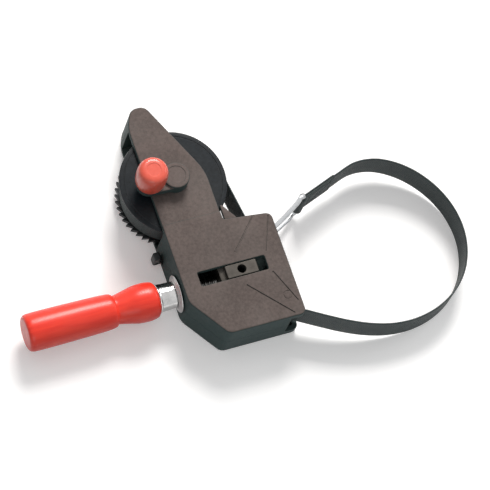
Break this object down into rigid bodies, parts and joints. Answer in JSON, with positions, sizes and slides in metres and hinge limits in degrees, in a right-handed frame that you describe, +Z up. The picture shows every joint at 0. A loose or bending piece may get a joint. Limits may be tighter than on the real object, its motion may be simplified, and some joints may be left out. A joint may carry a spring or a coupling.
{
  "type": "ratchet band clamp",
  "caption": "Band clamp: a flat head on a long arm, a band reel with ratchet and crank, and a screw handle that tightens the band's loop; a wire hook closes the loop.",
  "frame": {"origin": "on the housing's flat underside, straight below the screw spindle's axis, amid the head", "axes": "+X from the handle towards the work and the band's loop, +Y along the arm to its tip, +Z up to the crank's side"},
  "size_m": [0.3392, 0.2068, 0.0735],
  "materials": {
    "housing": "glass-filled black polyamide, finely grained",
    "reel_plastic": "smooth black moulded plastic",
    "webbing": "black woven polyester band",
    "steel": "bright zinc-plated steel",
    "zinc_wire": "bright zinc-plated wire",
    "cast_zinc": "grey zinc die casting",
    "nut_brass": "machined brass",
    "ferrule_chrome": "polished chrome plate",
    "handle_red": "turned beech in red gloss lacquer",
    "knob_red": "moulded red gloss plastic"
  },
  "bodies": {
    "housing": {"housing_bottom": "housing", "housing_top": "housing", "housing_screw_1": "steel", "housing_screw_2": "steel", "housing_screw_3": "steel", "housing_screw_4": "steel", "housing_screw_5": "steel", "housing_screw_6": "steel", "spindle_nut": "nut_brass", "guide_pin_inner": "steel", "guide_pin_outer": "steel", "anchor_pin": "steel", "pawl_pin": "steel", "pawl_spring": "steel", "band_feed": "webbing", "band_tension_run": "webbing", "band_loop": "webbing", "band_end": "webbing", "wire_hook": "zinc_wire"},
    "guide_roller_inner": {"guide_roller_inner": "steel"},
    "guide_roller_outer": {"guide_roller_outer": "steel"},
    "reel": {"reel_shaft": "steel", "ratchet_wheel": "steel", "reel_core": "reel_plastic", "reel_flange": "reel_plastic", "band_roll": "webbing", "band_outer_turn": "webbing", "crank_arm": "housing", "crank_screw": "steel", "knob_pin": "steel"},
    "crank_knob": {"crank_knob": "knob_red"},
    "pawl": {"pawl": "steel"},
    "carriage": {"carriage": "cast_zinc", "carriage_pin": "steel"},
    "carriage_roller": {"carriage_roller": "steel"},
    "spindle": {"spindle": "steel", "thrust_washer": "steel", "retaining_ring": "steel", "spindle_collar": "ferrule_chrome", "ferrule": "ferrule_chrome", "ferrule_pin": "steel", "handle": "handle_red"}
  },
  "joints": [
    {"name": "reel_spin", "type": "hinge", "parent": "housing", "child": "reel", "pos_m": [-0.02, 0.078, 0], "axis": [0, 0, 1], "continuous": true},
    {"name": "knob_spin", "type": "hinge", "parent": "reel", "child": "crank_knob", "pos_m": [-0.041, 0.078, 0], "axis": [0, 0, 1], "continuous": true},
    {"name": "pawl_swing", "type": "hinge", "parent": "housing", "child": "pawl", "pos_m": [-0.0315, 0.033, 0], "axis": [0, 0, 1], "range_deg": [-4.5, 5], "stiffness_Nm_per_rad": 0.08, "deforming": ["pawl_spring"]},
    {"name": "carriage_slide", "type": "slide", "parent": "housing", "child": "carriage", "axis": [-1, 0, 0], "range_m": [0, 0.0175], "deforming": ["band_tension_run"]},
    {"name": "spindle_turn", "type": "hinge", "parent": "carriage", "child": "spindle", "pos_m": [0, 0, 0.02], "axis": [1, 0, 0], "range_deg": [0, 2100]},
    {"name": "carriage_roller_spin", "type": "hinge", "parent": "carriage", "child": "carriage_roller", "pos_m": [0.006, 0, 0], "axis": [0, 0, 1], "continuous": true},
    {"name": "guide_inner_spin", "type": "hinge", "parent": "housing", "child": "guide_roller_inner", "pos_m": [0.02, 0.024, 0], "axis": [0, 0, 1], "continuous": true},
    {"name": "guide_outer_spin", "type": "hinge", "parent": "housing", "child": "guide_roller_outer", "pos_m": [0.0318, -0.028, 0], "axis": [0, 0, 1], "continuous": true}
  ],
  "couplings": [
    {"joint": "carriage_slide", "follows": "spindle_turn", "m_per_rad": 0.00047746},
    {"joint": "guide_inner_spin", "follows": "reel_spin", "ratio": 6.9176},
    {"joint": "guide_outer_spin", "follows": "reel_spin", "ratio": -6.9176},
    {"joint": "carriage_roller_spin", "follows": "reel_spin", "ratio": -5.4138}
  ]
}
